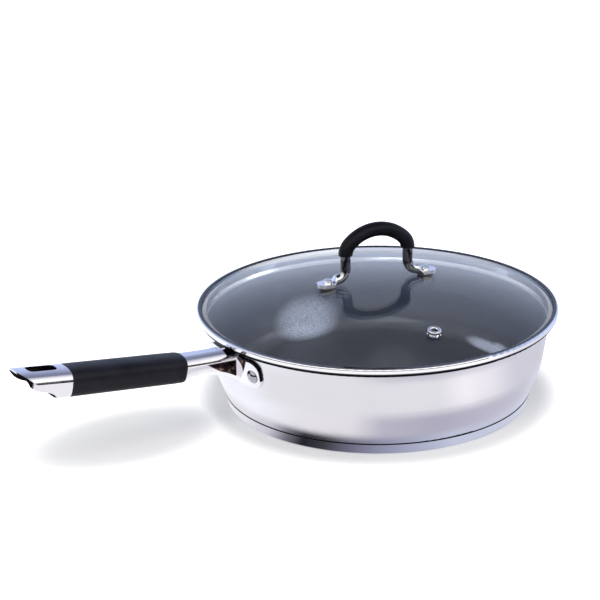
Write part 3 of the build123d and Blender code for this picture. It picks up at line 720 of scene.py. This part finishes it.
fine_grain, into, out_of = effect("fine_grain", {"Grain": 2500.0}, ["Height", "Worn"])
spot = piece_spot(fine_grain)
grain_noise = put(fine_grain, "ShaderNodeTexNoise", Detail=2.0)
worn_noise = put(fine_grain, "ShaderNodeTexNoise", Scale=45.0, Detail=3.0)
tie(
    fine_grain,
    (spot, grain_noise.inputs["Vector"]),
    (into.outputs["Grain"], grain_noise.inputs["Scale"]),
    (spot, worn_noise.inputs["Vector"]),
    (grain_noise.outputs["Fac"], out_of.inputs["Height"]),
    (tones(fine_grain, worn_noise.outputs["Fac"], worn_tones), out_of.inputs["Worn"]),
)


def moulded(name, colours, grain, depth, roughness, *pieces, **values):
    """A dark moulded finish for pieces: colours and roughness each go from fresh to worn."""
    material, tree, shader = finish(name, **values)
    grained = fitted(tree, fine_grain, Grain=grain)
    tie(
        tree,
        (blended(tree, grained.outputs["Worn"], *colours), shader.inputs["Base Color"]),
        (between(tree, grained.outputs["Worn"], roughness), shader.inputs["Roughness"]),
    )
    bumped(tree, shader, grained.outputs["Height"], depth)
    dress(material, *pieces)


moulded(
    "soft_black_plastic", grip_colours, grip_grain, grip_grain_depth, grip_roughness, "handle_grip",
    Specular_IOR_Level=0.14,
)

# End piece of the long handle: cast steel, open below, polished outside like the bracket and
# rough inside, painted dark there as shade, which shows through the hanging slot.
axis_weights = (0.133986, 0.990983)  # of x and z in the height over the handle's axis
axis_drop = -0.03924
end_half = (0.0132, 0.0101)
end_squareness = 2.9
inside_shade = (0.012, 0.008, 0.008)
inside_roughness = 0.6

tree, shader = polished("polished_end_steel", polish_colour, handle_smudges, "handle_end")
place = piece_place(tree)
along_x, along_z = (
    figure(tree, "MULTIPLY", here, weight) for here, weight in zip((place[0], place[2]), axis_weights)
)
over_axis = figure(tree, "ADD", figure(tree, "ADD", along_x, along_z), axis_drop)
shares = [
    figure(tree, "POWER", figure(tree, "DIVIDE", figure(tree, "ABSOLUTE", here), half), end_squareness)
    for here, half in zip((place[1], over_axis), end_half)
]
# Inside the hollow the colour is painted dark as shade.
inside = figure(tree, "LESS_THAN", figure(tree, "ADD", *shares), 1.0)
shaded(tree, shader, inside, inside_shade)
outside_roughness = shader.inputs["Roughness"].links[0].from_socket
rough_inside = figure(tree, "MULTIPLY", inside, inside_roughness)
tie(tree, (figure(tree, "MAXIMUM", outside_roughness, rough_inside), shader.inputs["Roughness"]))

# Lid glass: clear tempered glass, pressed to a shallow dome. Its edge inside the band is
# painted dark as the band's shade, and holes let the screws and the vent through.
glass_index = 1.23
glass_tint = (0.93, 0.96, 1.0)
glass_roughness = (0.0, 0.004)
glass_smudges = 25.0
rim_shade_colour = (0.01, 0.01, 0.012)
glass_shade_start = 0.1367
glass_shade_blur = 0.0002

lid_glass, tree, shader = finish("clear_lid_glass", IOR=glass_index, Transmission_Weight=1.0)
# Painted shade darkens the glass beyond this reach, where the band covers its edge.
glass_shade_mask = put(
    tree, "ShaderNodeMapRange", **{"From Min": glass_shade_start, "From Max": glass_shade_start + glass_shade_blur}
)
marks = fitted(tree, use_marks, Size=glass_smudges)
tie(
    tree,
    (axis_reach(tree, piece_place(tree)), glass_shade_mask.inputs["Value"]),
    (blended(tree, glass_shade_mask.outputs["Result"], glass_tint, rim_shade_colour), shader.inputs["Base Color"]),
    (between(tree, marks.outputs["Smudge"], glass_roughness), shader.inputs["Roughness"]),
)
dress(lid_glass, "lid_glass")

# Lid band: a steel strip rolled round the glass's edge and polished. Its inner top edge is painted
# black and not metal, and its lower edge dark where it turns under, both painted shade.
band_colours = ((0.86, 0.86, 0.88), (0.95, 0.945, 0.955))
band_rings = 5200.0
band_ring_depth = 0.000002
band_roughness = (0.06, 0.12)
band_smudges = 70.0
inner_edge_shade_reach = (0.1373, 0.1398)
inner_edge_shade_height = 0.0756
band_foot = (0.0715, 0.0722)
band_foot_blur = 0.0002

band_steel, tree, shader = finish("polished_band_steel", Metallic=1.0)
rings = fitted(tree, spun_rings, Rings=band_rings)
marks = fitted(tree, use_marks, Size=band_smudges)
# Painted shade along the band's foot where it turns under, and along its inner top edge.
foot_shade = fitted(tree, dark_band, Low=band_foot[0], High=band_foot[1], Blur=band_foot_blur)
place = piece_place(tree)
from_axis = axis_reach(tree, place)
inner_edge_shade = together(
    tree, figure(tree, "GREATER_THAN", from_axis, inner_edge_shade_reach[0]),
    figure(tree, "LESS_THAN", from_axis, inner_edge_shade_reach[1]),
    figure(tree, "GREATER_THAN", place[2], inner_edge_shade_height),
)
painted_band_shade = figure(tree, "MAXIMUM", inner_edge_shade, foot_shade.outputs["Mask"])
rolled = blended(tree, rings.outputs["Tone"], *band_colours)
tie(
    tree,
    (blended(tree, painted_band_shade, rolled, rim_shade_colour), shader.inputs["Base Color"]),
    (figure(tree, "SUBTRACT", 1.0, inner_edge_shade), shader.inputs["Metallic"]),
    (between(tree, marks.outputs["Smudge"], band_roughness), shader.inputs["Roughness"]),
)
bumped(tree, shader, rings.outputs["Height"], band_ring_depth)
dress(band_steel, "lid_band")

# Lid handle: a steel bar bent over the lid and flattened into two ears, with painted reflection
# making it darker up its legs. A screw goes through each ear, with a pad on both sides of the glass,
# and a washer and a nut below. A silicone sleeve covers the arch.
bar_colour = (0.93, 0.925, 0.94)
bar_smudges = 120.0
leg_rise = (0.1015, 0.106)
leg_painted_reflection = (0.11, 0.105, 0.12)
screw_colour = (0.85, 0.85, 0.87)
screw_smudges = 260.0
nut_colour = (0.7, 0.7, 0.72)
nut_smudges = 300.0
sleeve_colours = ((0.004, 0.004, 0.006), (0.009, 0.009, 0.013))
sleeve_grain = 1600.0
sleeve_grain_depth = 0.00003
sleeve_roughness = (0.4, 0.3)
pad_colours = ((0.05, 0.05, 0.055), (0.09, 0.09, 0.1))
pad_grain = 2600.0
pad_grain_depth = 0.00002
pad_roughness = (0.6, 0.5)

tree, shader = polished("polished_bar_steel", bar_colour, bar_smudges, "lid_handle_bar")
# Painted reflection: the bar is darker up its legs.
leg_reflection_mask = put(tree, "ShaderNodeMapRange", **{"From Min": leg_rise[0], "From Max": leg_rise[1]})
tie(tree, (piece_place(tree)[2], leg_reflection_mask.inputs["Value"]))
shaded(tree, shader, leg_reflection_mask.outputs["Result"], leg_painted_reflection)
polished("turned_screw_steel", screw_colour, screw_smudges, "lid_handle_screws")
polished("plain_nut_steel", nut_colour, nut_smudges, "lid_handle_nuts", "lid_handle_washers")
moulded(
    "black_sleeve_silicone", sleeve_colours, sleeve_grain, sleeve_grain_depth, sleeve_roughness,
    "lid_handle_grip", Specular_IOR_Level=0.16,
)
moulded(
    "dark_pad_silicone", pad_colours, pad_grain, pad_grain_depth, pad_roughness,
    "upper_gaskets", "lower_gaskets", "vent_gasket",
)

# Steam vent: a small turned eyelet on a thin seal, which shares the pads' silicone. Its barrel
# goes through the glass and is rolled over a ring below.
vent_colour = (0.95, 0.95, 0.96)
vent_smudges = 400.0

polished("turned_vent_steel", vent_colour, vent_smudges, "vent_eyelet", "vent_washer")
